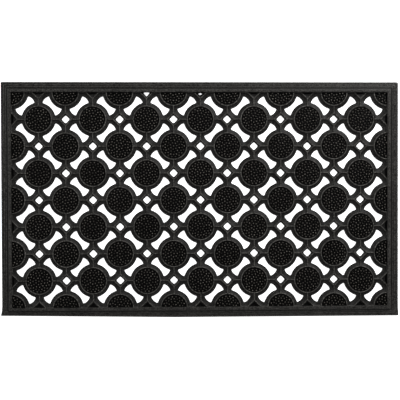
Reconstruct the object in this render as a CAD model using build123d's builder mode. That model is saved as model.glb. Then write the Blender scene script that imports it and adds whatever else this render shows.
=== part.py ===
"""Moulded rubber scraper door mat: pinned discs and open links inside a ribbed, ramped border.

The origin is the middle of the underside. +X runs along the mat, +Y to its back edge and +Z up.
The mat is one moulding. Its regions are kept as separate solids that meet face to face.
All lengths are in millimetres and all angles in degrees.
"""
from build123d import *
import math
import os

# Plan of the mat
mat_length = 750.0
border_width = 19.75
discs_along = 7
discs_across = 4
columns = 2 * discs_along + 1
rows = 2 * discs_across + 1
field_length = mat_length - 2 * border_width
site_step = field_length / (columns - 1)
field_width = site_step * (rows - 1)
mat_width = field_width + 2 * border_width

# Heights above the floor
pocket_floor = 0.8
web_top = 3.2
pad_top = 3.8
ridge_top = 5.6
bead_top = 6.2
rim_top = 8.6
pin_top = 9.0

# Round discs, the gaps between them and the necks where links join them
flange_radius = 31.1
gap_reach = 19.75
gap_corner = 2.2
gap_offset = site_step / math.sqrt(2)
neck_end = 35.0
bead_inner = 23.2
bead_outer = 26.6
bead_taper = 0.7
pad_radius = 22.6

# Pins: radius of their ring, number in the ring and angle of the first one
pin_rings = [(6.05, 7, 4.5), (11.1, 11, 16.0), (16.1, 18, 10.0), (20.1, 18, 0.0)]
pin_base_radius = 1.65
pin_tip_radius = 1.15

# Links
hole_side = 12.1
hole_corner = 2.4
ridge_side = 19.8
ridge_width = 2.2
ridge_corner = 3.0
open_pocket = (5, rows - 1)

# Border section from its outer lip inwards: distance from the edge, height
border_section = [
    (0.0, 0.0),
    (0.0, 2.2),
    (1.2, 3.0),
    (3.6, 3.2),
    (4.8, 4.6),
    (6.4, 4.7),
    (7.8, 4.2),
    (9.4, 6.0),
    (11.2, 6.1),
    (12.6, 5.6),
    (14.0, 8.2),
    (15.2, rim_top),
    (17.6, rim_top),
    (border_width, 7.6),
    (border_width, 0.0),
]

os.makedirs("parts", exist_ok=True)


def site(column, row):
    """Plan position of one disc or link, counted from the front left corner of the field."""
    return (column * site_step - field_length / 2, row * site_step - field_width / 2)


def on_edge(column, row):
    """True where the border cuts a disc or a link in half."""
    return column in (0, columns - 1) or row in (0, rows - 1)


def drain_gap():
    """Bone-shaped gap about its own centre, with the two discs beside it at -X and +X."""
    with BuildSketch() as gap:
        Circle(gap_reach)
        with Locations((gap_offset, 0), (-gap_offset, 0)):
            Circle(flange_radius, mode=Mode.SUBTRACT)
        fillet(gap.vertices(), gap_corner)
    return gap.sketch


def disc_plate(gap):
    """One round disc with its four neck stubs, its ring bead and the ribs that run out from it."""
    with BuildPart() as disc:
        with BuildSketch():
            Rectangle(2 * neck_end, 2 * neck_end)
            Rectangle(2 * gap_offset, 2 * gap_offset, rotation=45, mode=Mode.INTERSECT)
            with PolarLocations(gap_offset, 4, 45):
                add(gap, mode=Mode.SUBTRACT)
        extrude(amount=web_top)
        with BuildSketch(Plane.XY.offset(web_top)):
            Circle(bead_outer)
            Circle(bead_inner, mode=Mode.SUBTRACT)
        extrude(amount=bead_top - web_top)
        bead_rims = disc.edges().filter_by(GeomType.CIRCLE).group_by(Axis.Z)[-1]
        chamfer(bead_rims, bead_taper)
        with BuildSketch(Plane.XY.offset(web_top)):
            with PolarLocations((bead_outer + neck_end) / 2, 4):
                Rectangle(neck_end - bead_outer + bead_taper, ridge_width)
            Circle(bead_outer - bead_taper, mode=Mode.SUBTRACT)
            Rectangle(2 * neck_end, 2 * neck_end, mode=Mode.INTERSECT)
        extrude(amount=ridge_top - web_top)
    return disc.part


def pin_places():
    """Plan positions of one disc's pins about its centre."""
    places = [(0.0, 0.0)]
    for ring_radius, count, first_angle in pin_rings:
        for pin in range(count):
            angle = math.radians(first_angle + 360 / count * pin)
            places.append((ring_radius * math.cos(angle), ring_radius * math.sin(angle)))
    return places


def clear_of_border(place):
    """True where a whole pin stands inside the field."""
    x, y = place
    return abs(x) < field_length / 2 - pin_base_radius and abs(y) < field_width / 2 - pin_base_radius


def pin_field(centre):
    """The pad inside one disc's ring bead, with every tapered pin that the border leaves room for."""
    x, y = centre
    stands = [(x + across, y + up) for across, up in pin_places()]
    stands = [place for place in stands if clear_of_border(place)]
    with BuildPart() as field:
        with BuildSketch(Plane.XY.offset(web_top)):
            with Locations(centre):
                Circle(pad_radius)
            Rectangle(field_length, field_width, mode=Mode.INTERSECT)
        extrude(amount=pad_top - web_top)
        with Locations(*[(across, up, web_top) for across, up in stands]):
            Cone(
                pin_base_radius,
                pin_tip_radius,
                pin_top - web_top,
                align=(Align.CENTER, Align.CENTER, Align.MIN),
            )
    return field.part


def link_plate(gap, floor):
    """One four-armed link with its square hole and the ridge round it. A floor closes the hole."""
    arm = site_step - neck_end
    with BuildPart() as link:
        with BuildSketch():
            Rectangle(2 * arm, 2 * arm)
            with PolarLocations(gap_offset, 4, 45):
                add(gap, rotation=90, mode=Mode.SUBTRACT)
        extrude(amount=web_top)
        with BuildSketch(Plane.XY.offset(web_top)):
            RectangleRounded(ridge_side, ridge_side, ridge_corner, rotation=45)
            inner_side = ridge_side - 2 * ridge_width
            RectangleRounded(inner_side, inner_side, ridge_corner / 2, rotation=45, mode=Mode.SUBTRACT)
        extrude(amount=ridge_top - web_top)
        ridge_tip = ridge_side / math.sqrt(2) - ridge_width
        with BuildSketch(Plane.XY.offset(web_top)):
            with PolarLocations((ridge_tip + arm) / 2, 4):
                Rectangle(arm - ridge_tip, ridge_width)
        extrude(amount=ridge_top - web_top)
        with BuildSketch(Plane.XY.offset(floor)):
            RectangleRounded(hole_side, hole_side, hole_corner, rotation=45)
        extrude(amount=web_top - floor, mode=Mode.SUBTRACT)
    return link.part


def disc_row(disc, places):
    """Discs in one row, cut where the border begins."""
    with BuildPart() as discs:
        with Locations(*places):
            add(disc)
        Box(field_length, field_width, 4 * pin_top, mode=Mode.INTERSECT)
    return discs.part


def pin_row(whole_field, row):
    """Pin fields in one row. Those of whole discs are all alike."""
    with BuildPart() as fields:
        for column in range(row % 2, columns, 2):
            if on_edge(column, row):
                add(pin_field(site(column, row)))
            else:
                with Locations(site(column, row)):
                    add(whole_field)
    return fields.part


def link_row(open_link, closed_link, row):
    """Links in one row, cut where the border begins. The holes that the border cuts are closed pockets."""
    with BuildPart() as links:
        for column in range(1 - row % 2, columns, 2):
            closed = on_edge(column, row) and (column, row) != open_pocket
            with Locations(site(column, row)):
                add(closed_link if closed else open_link)
        Box(field_length, field_width, 4 * pin_top, mode=Mode.INTERSECT)
    return links.part


def border_side(along, outwards, length, distance):
    """One ribbed border strip, mitred at both ends and set that distance out from the middle."""
    start = outwards * distance
    section_plane = Plane(origin=start, x_dir=-outwards, z_dir=-outwards.cross(Vector(0, 0, 1)))
    with BuildPart() as strip:
        with BuildSketch(section_plane):
            with BuildLine():
                Polyline(*border_section, close=True)
            make_face()
        extrude(amount=length / 2, both=True)
        for end in (-1, 1):
            corner = start + along * (end * length / 2)
            split(bisect_by=Plane(origin=corner, z_dir=outwards - along * end), keep=Keep.TOP)
    return strip.part


def save(piece, name):
    """Label one sub-part and write it under its name."""
    piece.label = name
    export_step(piece, f"parts/{name}.step")


# The four sides of the border
left_to_right = Vector(1, 0, 0)
front_to_back = Vector(0, 1, 0)
border_sides = {
    "border_front": (left_to_right, -front_to_back, mat_length, mat_width / 2),
    "border_back": (left_to_right, front_to_back, mat_length, mat_width / 2),
    "border_left": (front_to_back, -left_to_right, mat_width, mat_length / 2),
    "border_right": (front_to_back, left_to_right, mat_width, mat_length / 2),
}
for name, side in border_sides.items():
    save(border_side(*side), name)

# The field, row by row from the front: discs and links take turns along it
gap = drain_gap()
disc = disc_plate(gap)
whole_field = pin_field((0, 0))
open_link = link_plate(gap, 0.0)
closed_link = link_plate(gap, pocket_floor)
for row in range(rows):
    disc_places = [site(column, row) for column in range(row % 2, columns, 2)]
    save(disc_row(disc, disc_places), f"disc_row_{row + 1}")
    save(pin_row(whole_field, row), f"pin_row_{row + 1}")
    save(link_row(open_link, closed_link, row), f"link_row_{row + 1}")
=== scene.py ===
import bpy
import bmesh
import math
from mathutils import Matrix, Vector


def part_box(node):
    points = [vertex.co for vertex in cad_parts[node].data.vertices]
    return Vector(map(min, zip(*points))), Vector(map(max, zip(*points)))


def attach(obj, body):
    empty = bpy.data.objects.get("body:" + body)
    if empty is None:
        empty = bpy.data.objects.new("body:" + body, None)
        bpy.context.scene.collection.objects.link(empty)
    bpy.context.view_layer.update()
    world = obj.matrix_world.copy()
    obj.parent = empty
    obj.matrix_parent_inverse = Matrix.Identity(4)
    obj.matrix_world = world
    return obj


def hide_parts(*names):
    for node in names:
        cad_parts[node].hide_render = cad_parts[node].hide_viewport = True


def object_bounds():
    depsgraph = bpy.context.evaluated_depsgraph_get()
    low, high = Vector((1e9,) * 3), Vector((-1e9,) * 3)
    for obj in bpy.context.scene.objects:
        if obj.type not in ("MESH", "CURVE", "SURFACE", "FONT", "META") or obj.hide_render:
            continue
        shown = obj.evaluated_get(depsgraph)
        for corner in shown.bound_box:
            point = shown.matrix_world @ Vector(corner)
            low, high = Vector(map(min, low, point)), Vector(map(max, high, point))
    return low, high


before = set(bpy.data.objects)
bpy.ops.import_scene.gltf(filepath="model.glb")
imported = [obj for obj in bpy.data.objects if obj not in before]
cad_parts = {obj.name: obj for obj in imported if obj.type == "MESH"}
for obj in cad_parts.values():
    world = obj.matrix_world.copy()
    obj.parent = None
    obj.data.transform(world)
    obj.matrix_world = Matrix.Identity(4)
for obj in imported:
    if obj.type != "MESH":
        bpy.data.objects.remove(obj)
cad_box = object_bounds()

# Plan of the mat, in metres, from the frame
MM = 0.001
TOUCHING = 0.01 * MM
ROWS = sum(1 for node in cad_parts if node.startswith("disc_row_"))
FIELD_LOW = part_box("disc_row_1")[0]
FIELD_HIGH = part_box(f"disc_row_{ROWS}")[1]
FIELD_LENGTH = FIELD_HIGH.x - FIELD_LOW.x
FIELD_WIDTH = FIELD_HIGH.y - FIELD_LOW.y
STEP = FIELD_WIDTH / (ROWS - 1)
COLUMNS = round(FIELD_LENGTH / STEP) + 1
MAT_LENGTH = cad_box[1].x - cad_box[0].x
MAT_WIDTH = cad_box[1].y - cad_box[0].y
BORDER = (MAT_LENGTH - FIELD_LENGTH) / 2

# Heights above the floor
WEB_TOP = 3.2 * MM
PAD_TOP = 2.4 * MM
RIDGE_TOP = 5.6 * MM
BEAD_TOP = 6.2 * MM
PIN_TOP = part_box("pin_row_5")[1].z

# Discs, gaps and links. A fork is where the ridge round a link's hole meets its ribs.
BEAD_RADIUS = 24.8 * MM
FLANGE_RADIUS = 31.85 * MM
GAP_REACH = 19.0 * MM
GAP_CORNER = 2.4 * MM
FORK = 12.2 * MM
HOLE_HALF_SIDE = 5.55 * MM
HOLE_CORNER = 2.2 * MM
RIDGE_HALF_WIDTH = 1.7 * MM
RIM_ROUND = 1.1 * MM
SHARP_ANGLE = math.radians(65)

# Floors of the half holes along the border, and the step beside the slot at their border end
POCKET_FLOOR = 0.8 * MM
POCKET_STEP = 2.9 * MM
POCKET_SLOT = 3.5 * MM
POCKET_LAP = 1.0 * MM
FLOOR_LIFT = 0.1 * MM
OPEN_FLOOR_DEPTH = 0.7 * MM
# Back half holes with an opening: column, then its distance from the border, half width and half depth
OPEN_POCKETS = [(5, 1.5 * MM, 5.3 * MM, 6.2 * MM), (7, 2.8 * MM, 3.9 * MM, 1.8 * MM)]

# Pins, and the rings they stand in on a disc: radius in millimetres, number of pins, angle of the first
PIN_BASE = 1.6 * MM
PIN_TIP = 1.1 * MM
PIN_TIP_ROUND = 0.6 * MM
PIN_RINGS = [(0.0, 1, 0.0), (6.05, 7, 4.5), (11.1, 11, 16.0), (16.1, 18, 10.0), (20.1, 18, 0.0)]

# Level of scuffing and painted light at a height in millimetres: -1 for painted shade in the deepest
# hollows, 0 on the open web, 1 on a crest with scuffing and a painted highlight
WEB_WEAR_AND_LIGHT = [(2.4, -1.0), (3.1, 0.0), (4.2, 0.0), (6.1, 1.0)]
# pins: painted shade low down between them, scuffing and a painted highlight at their tips
PIN_WEAR_AND_LIGHT = [(2.4, -1.0), (8.4, -0.7), (8.95, 1.0)]


def site(column, row):
    """Plan position of one disc or link, counted from the field's front left corner."""
    return Vector((FIELD_LOW.x + column * STEP, FIELD_LOW.y + row * STEP, 0))


def wear_and_light_at(height, steps):
    """Level of scuffing and painted light at a height, read between the steps of a list."""
    height = height / MM
    if height <= steps[0][0]:
        return steps[0][1]
    for (low, start), (high, end) in zip(steps, steps[1:]):
        if height <= high:
            return start + (end - start) * (height - low) / (high - low)
    return steps[-1][1]


def paint_wear_and_light(bm, steps):
    """Stores every point's level of scuffing and painted light from its height: painted shade low down,
    scuffing and painted highlight high up.
    """
    wear_and_light = bm.verts.layers.float.new("wear_and_light")
    for vert in bm.verts:
        vert[wear_and_light] = wear_and_light_at(vert.co.z, steps)


def finished(bm, name, material, nodes):
    """Turns a bmesh into a piece that stands for CAD nodes."""
    for edge in bm.edges:
        edge.smooth = not edge.is_manifold or edge.calc_face_angle() < SHARP_ANGLE
    mesh = bpy.data.meshes.new(name)
    bm.to_mesh(mesh)
    bm.free()
    mesh.shade_smooth()
    piece = bpy.data.objects.new(name, mesh)
    bpy.context.scene.collection.objects.link(piece)
    mesh.materials.append(material)
    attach(piece, "root")
    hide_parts(*nodes)
    return piece


# ---------------------------------------------------------------- the web

def arc(bm, start, centre, angle, steps):
    """A chain of vertices swept from a start point about a centre. Returns them in order."""
    vert = bm.verts.new(start)
    bmesh.ops.spin(
        bm, geom=[vert], cent=centre, axis=(0, 0, 1), angle=angle, steps=steps, space=Matrix()
    )
    chain = [vert]
    while len(chain) <= steps:
        edge = next(e for e in chain[-1].link_edges if e.other_vert(chain[-1]) not in chain)
        chain.append(edge.other_vert(chain[-1]))
    return chain


def wedge():
    """One eighth of a disc and the part of a link beside it, flat."""
    bm = bmesh.new()
    link = Vector((STEP, 0, 0))
    gap = Vector((STEP / 2, STEP / 2, 0))
    diagonal = Vector((1, 1, 0)).normalized()
    centre = bm.verts.new((0, 0, 0))
    bead = arc(bm, diagonal * BEAD_RADIUS, (0, 0, 0), -math.radians(45), 8)
    fork = bm.verts.new(link - Vector((FORK, 0, 0)))
    ridge_end = bm.verts.new(link + Vector((-FORK / 2, FORK / 2, 0)))

    # gap outline: along the flange, round the corner and along the gap's own circle
    spread = gap.length
    turn = math.acos((spread**2 + FLANGE_RADIUS**2 - GAP_REACH**2) / (2 * spread * FLANGE_RADIUS))
    corner_point = Matrix.Rotation(-turn, 3, "Z") @ (diagonal * FLANGE_RADIUS)
    flange = arc(bm, diagonal * FLANGE_RADIUS, (0, 0, 0), -turn, 6)
    to_corner = corner_point - gap
    to_link = Vector((1, -1, 0)).normalized() * GAP_REACH
    reach_turn = to_corner.xy.angle_signed(to_link.xy)
    reach = arc(bm, gap + to_link, gap, reach_turn, 6)
    bmesh.ops.remove_doubles(bm, verts=[flange[-1], reach[-1]], dist=TOUCHING)
    corner = flange[-1] if flange[-1].is_valid else reach[-1]

    # diamond hole: from the middle of its side to its rounded corner
    side_middle = bm.verts.new(link + Vector((-1, 1, 0)) * HOLE_HALF_SIDE / math.sqrt(2))
    corner_centre = link - Vector((HOLE_HALF_SIDE - HOLE_CORNER, 0, 0)) * math.sqrt(2)
    tangent = corner_centre + Vector((-1, 1, 0)).normalized() * HOLE_CORNER
    hole = arc(bm, tangent, corner_centre, math.radians(45), 3)

    ridge = bead + [fork, ridge_end]
    bm.faces.new([centre] + bead[::-1])
    bm.faces.new(ridge + reach[:-1] + [corner] + flange[-2::-1])
    bm.faces.new([fork, hole[-1]] + hole[-2::-1] + [side_middle, ridge_end])
    for one, other in zip(ridge, ridge[1:]):
        bm.edges.get((one, other)).seam = True
    bmesh.ops.bevel(
        bm, geom=[corner], affect="VERTICES", offset=GAP_CORNER, segments=3, profile=0.5, material=-1
    )
    return bm


def disc_cell():
    """Flat top surface of one disc, its four necks and a quarter of each link beside it."""
    bm = wedge()
    bmesh.ops.mirror(
        bm, geom=bm.verts[:] + bm.edges[:] + bm.faces[:], matrix=Matrix.Identity(4),
        merge_dist=TOUCHING, axis="Y",
    )
    for turn in (90, 180):
        copied = bmesh.ops.duplicate(bm, geom=bm.verts[:] + bm.edges[:] + bm.faces[:])
        verts = [part for part in copied["geom"] if isinstance(part, bmesh.types.BMVert)]
        quarter = Matrix.Rotation(math.radians(turn), 3, "Z")
        bmesh.ops.rotate(bm, verts=verts, cent=(0, 0, 0), matrix=quarter)
    bmesh.ops.remove_doubles(bm, verts=bm.verts, dist=TOUCHING)
    bmesh.ops.reverse_faces(bm, faces=[face for face in bm.faces if face.normal.z < 0])
    return bm


def add_copies(bm, cell, places):
    """Adds copies of one bmesh to another, one at each place."""
    pattern = bpy.data.meshes.new("pattern")
    cell.to_mesh(pattern)
    cell.free()
    for place in places:
        first = len(bm.verts)
        bm.from_mesh(pattern)
        bm.verts.ensure_lookup_table()
        bmesh.ops.translate(bm, verts=bm.verts[first:], vec=place)
    bpy.data.meshes.remove(pattern)


def trim_to_field(bm, inset=0.0, close=False):
    """Cuts away what lies past the field, or inside it but nearer than the inset to its back and sides."""
    low, high = FIELD_LOW, FIELD_HIGH
    for x, y, outwards in (
        (low.x + inset, 0, (-1, 0, 0)), (high.x - inset, 0, (1, 0, 0)),
        (0, low.y, (0, -1, 0)), (0, high.y - inset, (0, 1, 0)),
    ):
        cut = bmesh.ops.bisect_plane(
            bm, geom=bm.verts[:] + bm.edges[:] + bm.faces[:], dist=TOUCHING,
            plane_co=(x, y, 0), plane_no=outwards, clear_outer=True,
        )
        if close:
            edges = [part for part in cut["geom_cut"] if isinstance(part, bmesh.types.BMEdge)]
            bmesh.ops.holes_fill(bm, edges=edges)


def eased(distance, reach):
    """1 on a crest, 0 at its foot and beyond, with a narrow flat top and a soft foot."""
    t = max(min(abs(distance) / reach, 1) - 0.2, 0) / 0.8
    return 0.5 + 0.5 * math.cos(math.pi * t)


def web_height(x, y):
    """Height of the web's top at a plan position, from its place in the repeating pattern."""
    across = (x - FIELD_LOW.x) / STEP
    up = (y - FIELD_LOW.y) / STEP
    column, row = round(across), round(up)
    if (column + row) % 2:
        if abs(across - column) > abs(up - row):
            column += 1 if across > column else -1
        else:
            row += 1 if up > row else -1
    dx, dy = abs(across - column) * STEP, abs(up - row) * STEP
    dx, dy = max(dx, dy), min(dx, dy)
    radius = math.hypot(dx, dy)
    floor = PAD_TOP if radius < BEAD_RADIUS else WEB_TOP
    height = floor + (BEAD_TOP - floor) * eased(radius - BEAD_RADIUS, RIDGE_HALF_WIDTH)
    fork = STEP - FORK
    if radius > BEAD_RADIUS and dx < fork:
        height = max(height, WEB_TOP + (RIDGE_TOP - WEB_TOP) * eased(dy, RIDGE_HALF_WIDTH))
    past_fork = dx - fork
    if past_fork > -RIDGE_HALF_WIDTH:
        off_ridge = (past_fork - dy) / math.sqrt(2)
        height = max(height, WEB_TOP + (RIDGE_TOP - WEB_TOP) * eased(off_ridge, RIDGE_HALF_WIDTH))
    return height


def on_outline(vert):
    """True for a point on the line where the web meets the border."""
    off_side = min(abs(vert.co.x - FIELD_LOW.x), abs(vert.co.x - FIELD_HIGH.x))
    off_end = min(abs(vert.co.y - FIELD_LOW.y), abs(vert.co.y - FIELD_HIGH.y))
    return min(off_side, off_end) < TOUCHING


def match_outline(bm, under):
    """Gives the outlines of the top and the underside the same points, so that their wall closes."""
    rim = [edge for edge in bm.edges if edge.is_boundary and all(map(on_outline, edge.verts))]
    sides = [[edge for edge in rim if edge.link_faces[0][under] == side] for side in (0, 1)]
    points = [{vert.co.copy().freeze() for edge in edges for vert in edge.verts} for edges in sides]
    for edges, wanted in zip(sides, reversed(points)):
        for point in wanted:
            for edge in edges:
                start, end = edge.verts
                span = end.co - start.co
                share = (point - start.co).dot(span) / span.length_squared
                off_line = (start.co + span * share - point).length
                if off_line < TOUCHING and 1e-4 < share < 1 - 1e-4:
                    edges.append(bmesh.utils.edge_split(edge, start, share)[0])
                    break


def make_web(material):
    """The continuous web of discs, necks and links, with its beads, ribs and ridges."""
    discs = [site(c, r) for r in range(ROWS) for c in range(COLUMNS) if (c + r) % 2 == 0]
    bm = bmesh.new()
    add_copies(bm, disc_cell(), discs)
    bmesh.ops.remove_doubles(bm, verts=bm.verts, dist=TOUCHING)

    under = bm.faces.layers.int.new("under")
    below = bmesh.ops.duplicate(bm, geom=bm.verts[:] + bm.edges[:] + bm.faces[:])["geom"]
    below_faces = [part for part in below if isinstance(part, bmesh.types.BMFace)]
    for face in below_faces:
        face[under] = 1
    bmesh.ops.reverse_faces(bm, faces=below_faces)

    lines = [edge for edge in bm.edges if edge.seam and not edge.link_faces[0][under]]
    bmesh.ops.bevel(
        bm, geom=lines, affect="EDGES", offset=RIDGE_HALF_WIDTH, offset_type="OFFSET", segments=6,
        profile=0.5, material=-1, loop_slide=True, clamp_overlap=False,
    )
    trim_to_field(bm)
    match_outline(bm, under)

    # lift the beads, ribs and ridges, drop a wall from every free edge and round the openings' rims
    top_faces = [face for face in bm.faces if not face[under]]
    for vert in {vert for face in top_faces for vert in face.verts}:
        vert.co.z = web_height(vert.co.x, vert.co.y)
    rims = [edge for edge in bm.edges if edge.is_boundary and not edge.link_faces[0][under]]
    dropped = bmesh.ops.extrude_edge_only(bm, edges=rims)["geom"]
    for part in dropped:
        if isinstance(part, bmesh.types.BMVert):
            part.co.z = 0
    rims = [edge for edge in rims if not all(map(on_outline, edge.verts))]
    bmesh.ops.remove_doubles(bm, verts=bm.verts, dist=TOUCHING)
    bmesh.ops.recalc_face_normals(bm, faces=bm.faces)
    rims = [edge for edge in rims if edge.is_valid]
    bmesh.ops.bevel(
        bm, geom=rims, affect="EDGES", offset=RIM_ROUND, segments=2, profile=0.5, material=-1,
        clamp_overlap=False,
    )
    add_copies(bm, pocket_floors(), [Vector()])
    # painted shade on the pad floors, pockets and hollows, scuffing and painted highlight on the crests
    paint_wear_and_light(bm, WEB_WEAR_AND_LIGHT)
    nodes = [f"{kind}_row_{row + 1}" for kind in ("disc", "link") for row in range(ROWS)]
    return finished(bm, "scraper_web", material, nodes)


def pocket_plates(places, height):
    """Square plates on their points, one under each half hole."""
    plate = bmesh.new()
    bmesh.ops.create_cube(plate, size=1)
    side = 2 * HOLE_HALF_SIDE + POCKET_LAP
    bmesh.ops.scale(plate, verts=plate.verts, vec=(side, side, height - FLOOR_LIFT))
    bmesh.ops.rotate(plate, verts=plate.verts, matrix=Matrix.Rotation(math.radians(45), 3, "Z"))
    bmesh.ops.translate(plate, verts=plate.verts, vec=(0, 0, (height + FLOOR_LIFT) / 2))
    plates = bmesh.new()
    add_copies(plates, plate, [site(column, row) for column, row in places])
    return plates


def open_pocket(column, offset, half_width, half_depth):
    """A thin plate under a back half hole, with an opening in it."""
    plate = bmesh.new()
    reach = (2 * HOLE_HALF_SIDE + POCKET_LAP) / math.sqrt(2)
    bmesh.ops.create_circle(plate, segments=4, radius=reach)
    opening = bmesh.ops.create_circle(plate, segments=4, radius=1)["verts"]
    bmesh.ops.scale(plate, verts=opening, vec=(half_width, half_depth, 1))
    bmesh.ops.translate(plate, verts=opening, vec=(0, -offset, 0))
    bmesh.ops.bridge_loops(plate, edges=plate.edges)
    bmesh.ops.solidify(plate, geom=plate.faces[:], thickness=OPEN_FLOOR_DEPTH)
    bmesh.ops.recalc_face_normals(plate, faces=plate.faces)
    lift = FLOOR_LIFT - min(vert.co.z for vert in plate.verts)
    bmesh.ops.translate(plate, verts=plate.verts, vec=site(column, ROWS - 1) + Vector((0, 0, lift)))
    return plate


def pocket_floors():
    """Floors of the half holes along the border: deep at the front, stepped elsewhere, two partly open."""
    front = [(c, 0) for c in range(COLUMNS) if c % 2]
    opened = [column for column, *_ in OPEN_POCKETS]
    back = [(c, ROWS - 1) for c in range(COLUMNS) if (c + ROWS - 1) % 2 and c not in opened]
    sides = [(c, r) for c in (0, COLUMNS - 1) for r in range(ROWS) if (c + r) % 2]
    floors = pocket_plates(front + back + sides, POCKET_FLOOR)
    for pocket in OPEN_POCKETS:
        add_copies(floors, open_pocket(*pocket), [Vector()])
    trim_to_field(floors, close=True)
    steps = pocket_plates(back + sides, POCKET_STEP)
    trim_to_field(steps, POCKET_SLOT, close=True)
    add_copies(floors, steps, [Vector()])
    return floors


# ---------------------------------------------------------------- pins

def make_pins(row, material):
    """The tapered, round-tipped pins on one row's discs."""
    pin = bmesh.new()
    bmesh.ops.create_cone(
        pin, segments=8, radius1=PIN_BASE, radius2=PIN_TIP, depth=PIN_TOP - PAD_TOP, cap_ends=True,
    )
    bmesh.ops.translate(pin, verts=pin.verts, vec=(0, 0, (PIN_TOP + PAD_TOP) / 2))
    tip_edges = [edge for edge in pin.edges if all(vert.co.z > PIN_TOP - MM for vert in edge.verts)]
    bmesh.ops.bevel(
        pin, geom=tip_edges, affect="EDGES", offset=PIN_TIP_ROUND, segments=2, profile=0.5, material=-1,
    )
    # painted shade low down between the pins, scuffing and a painted highlight at their tips
    paint_wear_and_light(pin, PIN_WEAR_AND_LIGHT)
    stands = []
    for column in range(row % 2, COLUMNS, 2):
        centre = site(column, row)
        for radius, count, first_angle in PIN_RINGS:
            for turn in range(count):
                angle = math.radians(first_angle + 360 / count * turn)
                stand = centre + Vector((math.cos(angle), math.sin(angle), 0)) * radius * MM
                inside_x = FIELD_LOW.x + PIN_BASE < stand.x < FIELD_HIGH.x - PIN_BASE
                inside_y = FIELD_LOW.y + PIN_BASE < stand.y < FIELD_HIGH.y - PIN_BASE
                if inside_x and inside_y:
                    stands.append(stand)
    pins = bmesh.new()
    add_copies(pins, pin, stands)
    return finished(pins, f"pins_row_{row + 1}", material, [f"pin_row_{row + 1}"])


# ---------------------------------------------------------------- border

# Section of the border from its lip inwards: distance and height in millimetres, and a level of scuffing
# and painted light: painted highlight and scuffing on the crests, painted shade in the grooves and on the
# walls
BORDER_SECTION = [
    (0.0, 0.0, -1.0), (0.0, 1.9, -0.6), (1.4, 2.6, -0.5),
    (2.0, 3.2, 0.6), (3.0, 3.3, 0.5), (3.6, 2.9, -0.8), (4.8, 3.2, -0.8),
    (5.4, 4.1, 0.8), (6.6, 4.3, 0.8), (7.2, 3.8, -0.8), (8.6, 4.3, -0.8),
    (9.2, 5.4, 0.6), (10.4, 5.6, 0.6), (11.0, 5.0, -0.9), (12.8, 5.5, -0.9),
    (13.9, 8.1, -0.1), (14.9, 8.6, 0.42), (17.8, 8.6, 0.34), (19.1, 8.5, 0.25), (20.0, 8.0, 0.0),
    (20.0, 5.6, -1.0), (20.0, 0.0, -1.0),
]
RIB_ROUND = 0.25 * MM
CORNER_ROUND = 1.7 * MM
LENGTH_CUTS = 40

# How the border strays from a true frame. The draw is measured from its start, in x, to the left end.
FRONT_DRAW = 5.0 * MM
DRAW_START = -50 * MM
RIGHT_SPREAD = 2.3 * MM
CORNER_FLARE = 2.6 * MM
FLARE_REACH = 23 * MM

# Share of the ribs' scuffing and painted light that is left at the front, and the painted sheen added
# evenly there
FRONT_WEAR_AND_LIGHT = 0.15
FRONT_PAINTED_SHEEN = 0.2


def make_border(material):
    """The ramped frame: one section carried round the mat, with concentric ribs and rounded corners."""
    bm = bmesh.new()
    wear_and_light = bm.verts.layers.float.new("wear_and_light")
    low = cad_box[0]
    corner = []
    for inwards, height, wear_and_light_level in BORDER_SECTION:
        vert = bm.verts.new((low.x + inwards * MM, low.y + inwards * MM, height * MM))
        vert[wear_and_light] = wear_and_light_level
        corner.append(vert)
    section = [bm.edges.new((one, other)) for one, other in zip(corner, corner[1:] + corner[:1])]
    first = section
    for flip in ((-1, 1, 1), (1, -1, 1), (-1, 1, 1)):
        made = bmesh.ops.extrude_edge_only(bm, edges=section)["geom"]
        verts = [part for part in made if isinstance(part, bmesh.types.BMVert)]
        bmesh.ops.scale(bm, vec=flip, verts=verts)
        section = [
            part for part in made
            if isinstance(part, bmesh.types.BMEdge) and all(vert in verts for vert in part.verts)
        ]
    bmesh.ops.bridge_loops(bm, edges=first + section)
    bmesh.ops.recalc_face_normals(bm, faces=bm.faces)
    ribs = [edge for edge in bm.edges if edge.calc_length() > MAT_WIDTH / 2 and edge.verts[0].co.z > 0]
    bmesh.ops.bevel(
        bm, geom=ribs, affect="EDGES", offset=RIB_ROUND, segments=2, profile=0.5, material=-1,
    )
    mitres = [edge for edge in bm.edges if edge.calc_length() < BORDER * 1.5]
    bmesh.ops.bevel(
        bm, geom=mitres, affect="EDGES", offset=CORNER_ROUND, segments=3, profile=0.5, material=-1,
        clamp_overlap=False,
    )
    long_edges = [edge for edge in bm.edges if edge.calc_length() > MAT_WIDTH / 2]
    bmesh.ops.subdivide_edges(bm, edges=long_edges, cuts=LENGTH_CUTS, use_grid_fill=True)

    # the ribs' scuffing and painted light fade out towards the front, where an even painted sheen is added
    for vert in bm.verts:
        away = min((vert.co.y - low.y) / (3 * BORDER), 1)
        vert[wear_and_light] *= FRONT_WEAR_AND_LIGHT + (1 - FRONT_WEAR_AND_LIGHT) * away
        vert[wear_and_light] += FRONT_PAINTED_SHEEN * (1 - away)

    # the front draws in towards its left end, the right side spreads and the front corners flare
    for vert in bm.verts:
        front_share = (FIELD_LOW.y - vert.co.y) / BORDER
        left_share = (DRAW_START - vert.co.x) / (DRAW_START - low.x)
        flare = CORNER_FLARE * max(1 - (vert.co.y - low.y) / FLARE_REACH, 0) ** 2
        if vert.co.x > FIELD_HIGH.x:
            vert.co.x += (RIGHT_SPREAD + flare / 2) * (vert.co.x - FIELD_HIGH.x) / BORDER
        elif vert.co.x < FIELD_LOW.x:
            vert.co.x -= flare * (FIELD_LOW.x - vert.co.x) / BORDER
        if front_share > 0 and left_share > 0:
            vert.co.y += FRONT_DRAW * front_share * left_share
    nodes = [f"border_{side}" for side in ("front", "back", "left", "right")]
    return finished(bm, "border", material, nodes)


# ---------------------------------------------------------------- materials

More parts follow.
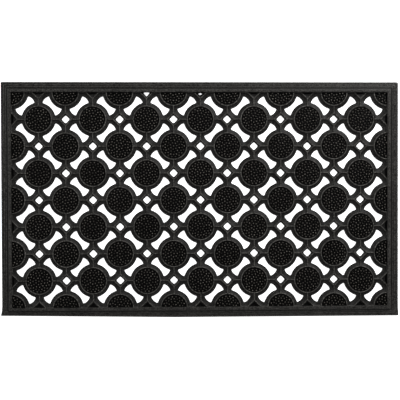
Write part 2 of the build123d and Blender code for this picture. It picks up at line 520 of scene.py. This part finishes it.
def node(tree, kind, **values):
    """Adds one shader node and sets its plain properties."""
    made = tree.nodes.new(kind)
    for name, value in values.items():
        setattr(made, name, value)
    return made


def mapped(tree, value, source, target):
    """A value remapped from one range to another, clamped at the ends. Returns the output socket."""
    made = node(tree, "ShaderNodeMapRange")
    made.inputs["From Min"].default_value, made.inputs["From Max"].default_value = source
    made.inputs["To Min"].default_value, made.inputs["To Max"].default_value = target
    tree.links.new(value, made.inputs["Value"])
    return made.outputs["Result"]


def rubber_surface():
    """Shader group for moulded rubber: painted shade in the hollows, crests lightened by scuffing and a
    painted highlight, uneven tone, dust and a fine grain.
    """
    group = bpy.data.node_groups.new("rubber_surface", "ShaderNodeTree")
    for name, kind in (
        ("Position", "NodeSocketVector"), ("Wear_and_light", "NodeSocketFloat"), ("Painted_shade", "NodeSocketColor"),
        ("Open", "NodeSocketColor"), ("Scuffed_and_lit", "NodeSocketColor"), ("Roughness", "NodeSocketFloat"),
    ):
        group.interface.new_socket(name, in_out="INPUT", socket_type=kind)
    for name, kind in (
        ("Color", "NodeSocketColor"), ("Roughness", "NodeSocketFloat"), ("Height", "NodeSocketFloat"),
    ):
        group.interface.new_socket(name, in_out="OUTPUT", socket_type=kind)
    link = group.links.new
    inputs = node(group, "NodeGroupInput")
    outputs = node(group, "NodeGroupOutput")

    # noises from broad patches down to the grain of the moulding
    noises = {}
    for name, scale, detail in (("patches", 14, 4), ("mottle", 380, 3), ("grain", 1400, 3)):
        noises[name] = node(group, "ShaderNodeTexNoise")
        noises[name].inputs["Scale"].default_value = scale
        noises[name].inputs["Detail"].default_value = detail
        link(inputs.outputs["Position"], noises[name].inputs["Vector"])
    dust = node(group, "ShaderNodeTexVoronoi")
    dust.inputs["Scale"].default_value = 150
    link(inputs.outputs["Position"], dust.inputs["Vector"])

    # scuffing and painted light roughened by the mottle, split into a painted shade share for the hollows
    # and a share of scuffing and painted highlight for the crests
    painted_shade = mapped(group, inputs.outputs["Wear_and_light"], (-1, 0), (1, 0))
    crest = mapped(group, inputs.outputs["Wear_and_light"], (0, 1), (0, 1))
    patchy = mapped(group, noises["mottle"].outputs["Fac"], (0.3, 0.6), (0.55, 1))
    scuff_and_highlight = node(group, "ShaderNodeMath", operation="MULTIPLY")
    link(crest, scuff_and_highlight.inputs[0])
    link(patchy, scuff_and_highlight.inputs[1])
    base = node(group, "ShaderNodeMix", data_type="RGBA")
    link(painted_shade, base.inputs["Factor"])
    link(inputs.outputs["Open"], base.inputs["A"])
    link(inputs.outputs["Painted_shade"], base.inputs["B"])

    # grains of pale dust, thicker in some patches
    speck = mapped(group, dust.outputs["Distance"], (0.14, 0.06), (0, 1))
    dusty_patch = mapped(group, noises["patches"].outputs["Fac"], (0.45, 0.7), (0, 0.4))
    dusty = node(group, "ShaderNodeMath", operation="MULTIPLY")
    link(speck, dusty.inputs[0])
    link(dusty_patch, dusty.inputs[1])
    # the stronger of the dust and the crests' scuffing with painted highlight lightens the colour towards
    # the crest tone
    lighter = node(group, "ShaderNodeMath", operation="MAXIMUM")
    link(scuff_and_highlight.outputs[0], lighter.inputs[0])
    link(dusty.outputs[0], lighter.inputs[1])
    wear_and_light_level = node(group, "ShaderNodeMix", data_type="RGBA")
    link(lighter.outputs[0], wear_and_light_level.inputs["Factor"])
    link(base.outputs["Result"], wear_and_light_level.inputs["A"])
    link(inputs.outputs["Scuffed_and_lit"], wear_and_light_level.inputs["B"])

    broad = mapped(group, noises["patches"].outputs["Fac"], (0.3, 0.7), (0.82, 1.18))
    fine = mapped(group, noises["mottle"].outputs["Fac"], (0.3, 0.7), (0.15, 2.1))
    tone = node(group, "ShaderNodeMath", operation="MULTIPLY")
    link(broad, tone.inputs[0])
    link(fine, tone.inputs[1])
    toned = node(group, "ShaderNodeVectorMath", operation="SCALE")
    link(wear_and_light_level.outputs["Result"], toned.inputs[0])
    link(tone.outputs[0], toned.inputs["Scale"])
    link(toned.outputs[0], outputs.inputs["Color"])

    uneven = mapped(group, noises["mottle"].outputs["Fac"], (0, 1), (-0.12, 0.12))
    rough = node(group, "ShaderNodeMath", operation="ADD")
    link(inputs.outputs["Roughness"], rough.inputs[0])
    link(uneven, rough.inputs[1])
    link(rough.outputs[0], outputs.inputs["Roughness"])

    relief = node(group, "ShaderNodeMath", operation="MULTIPLY_ADD")
    relief.inputs[1].default_value = 0.7
    link(noises["mottle"].outputs["Fac"], relief.inputs[0])
    link(noises["grain"].outputs["Fac"], relief.inputs[2])
    link(relief.outputs[0], outputs.inputs["Height"])
    return group


def rubber(name, surface, tint, painted_shade, open_tone, scuffed_and_lit, roughness):
    """A black rubber with its own tones for painted shade in the hollows, open surfaces, and crests with
    scuffing and a painted highlight.
    """
    material = bpy.data.materials.new(name)
    material.use_nodes = True
    tree = material.node_tree
    shader = tree.nodes["Principled BSDF"]
    shader.inputs["Specular IOR Level"].default_value = 0.1
    place = node(tree, "ShaderNodeTexCoord")
    wear_and_light = node(tree, "ShaderNodeAttribute", attribute_name="wear_and_light")
    look = node(tree, "ShaderNodeGroup", node_tree=surface)
    for socket, tone in (("Painted_shade", painted_shade), ("Open", open_tone), ("Scuffed_and_lit", scuffed_and_lit)):
        look.inputs[socket].default_value = (tone * tint[0], tone * tint[1], tone * tint[2], 1)
    look.inputs["Roughness"].default_value = roughness
    bump = node(tree, "ShaderNodeBump")
    bump.inputs["Strength"].default_value = 0.4
    bump.inputs["Distance"].default_value = 0.2 * MM
    tree.links.new(place.outputs["Object"], look.inputs["Position"])
    tree.links.new(wear_and_light.outputs["Fac"], look.inputs["Wear_and_light"])
    tree.links.new(look.outputs["Color"], shader.inputs["Base Color"])
    tree.links.new(look.outputs["Roughness"], shader.inputs["Roughness"])
    tree.links.new(look.outputs["Height"], bump.inputs["Height"])
    tree.links.new(bump.outputs["Normal"], shader.inputs["Normal"])
    return material


# ---------------------------------------------------------------- the mat

surface = rubber_surface()
# tones: painted shade in hollows, open surface, crests with scuffing and painted highlight
web_rubber = rubber("web_rubber", surface, (1, 0.96, 0.89), 0.003, 0.0108, 0.068, 0.5)
pin_rubber = rubber("pin_rubber", surface, (1, 0.92, 0.81), 0.003, 0.0135, 0.092, 0.5)
border_rubber = rubber("border_rubber", surface, (1, 0.96, 0.89), 0.0045, 0.0165, 0.044, 0.45)

make_web(web_rubber)
for row in range(ROWS):
    make_pins(row, pin_rubber)
make_border(border_rubber)


# ---------------------------------------------------------------- floor, light and camera

FLOOR_REACH = 30
FLOOR_DROP = 0.05 * MM


def make_floor():
    """A plain pale floor that glows a little, so that it stays white in the gaps."""
    bm = bmesh.new()
    bmesh.ops.create_grid(bm, x_segments=1, y_segments=1, size=FLOOR_REACH)
    bmesh.ops.translate(bm, verts=bm.verts, vec=(0, 0, -FLOOR_DROP))
    mesh = bpy.data.meshes.new("floor")
    bm.to_mesh(mesh)
    bm.free()
    floor = bpy.data.objects.new("floor", mesh)
    bpy.context.scene.collection.objects.link(floor)
    pale = bpy.data.materials.new("pale_floor")
    pale.use_nodes = True
    shader = pale.node_tree.nodes["Principled BSDF"]
    shader.inputs["Base Color"].default_value = (0.9, 0.9, 0.9, 1)
    shader.inputs["Roughness"].default_value = 0.9
    shader.inputs["Specular IOR Level"].default_value = 0.1
    shader.inputs["Emission Color"].default_value = (1, 1, 1, 1)
    shader.inputs["Emission Strength"].default_value = 0.9
    mesh.materials.append(pale)


def soft_light(name, place, size, power):
    """A square softbox aimed at the middle of the mat."""
    lamp = bpy.data.lights.new(name, "AREA")
    lamp.shape = "SQUARE"
    lamp.size = size
    lamp.energy = power
    box = bpy.data.objects.new(name, lamp)
    box.location = place
    box.rotation_mode = "QUATERNION"
    box.rotation_quaternion = (-Vector(place)).to_track_quat("-Z", "Y")
    bpy.context.scene.collection.objects.link(box)


make_floor()
soft_light("key", (0.8, 0.95, 0.8), 0.8, 24.5)
soft_light("fill", (-1.5, 0.6, 1.0), 1.0, 14)
soft_light("front_fill", (0.3, -1.6, 1.0), 1.0, 4)

world = bpy.data.worlds.new("studio")
bpy.context.scene.world = world
world.use_nodes = True
world.node_tree.nodes["Background"].inputs["Color"].default_value = (1, 1, 1, 1)
world.node_tree.nodes["Background"].inputs["Strength"].default_value = 0.28
bpy.context.scene.view_settings.view_transform = "Standard"

CAMERA_PLACE = (-0.0398, 0.0201, 1.4)
CAMERA_TILT = [math.radians(angle) for angle in (-0.838, -1.589, -0.185)]
camera = bpy.data.objects.new("camera", bpy.data.cameras.new("camera"))
bpy.context.scene.collection.objects.link(camera)
camera.location = CAMERA_PLACE
camera.rotation_euler = CAMERA_TILT
camera.data.sensor_width = 36
camera.data.lens = 66.4
bpy.context.scene.camera = camera
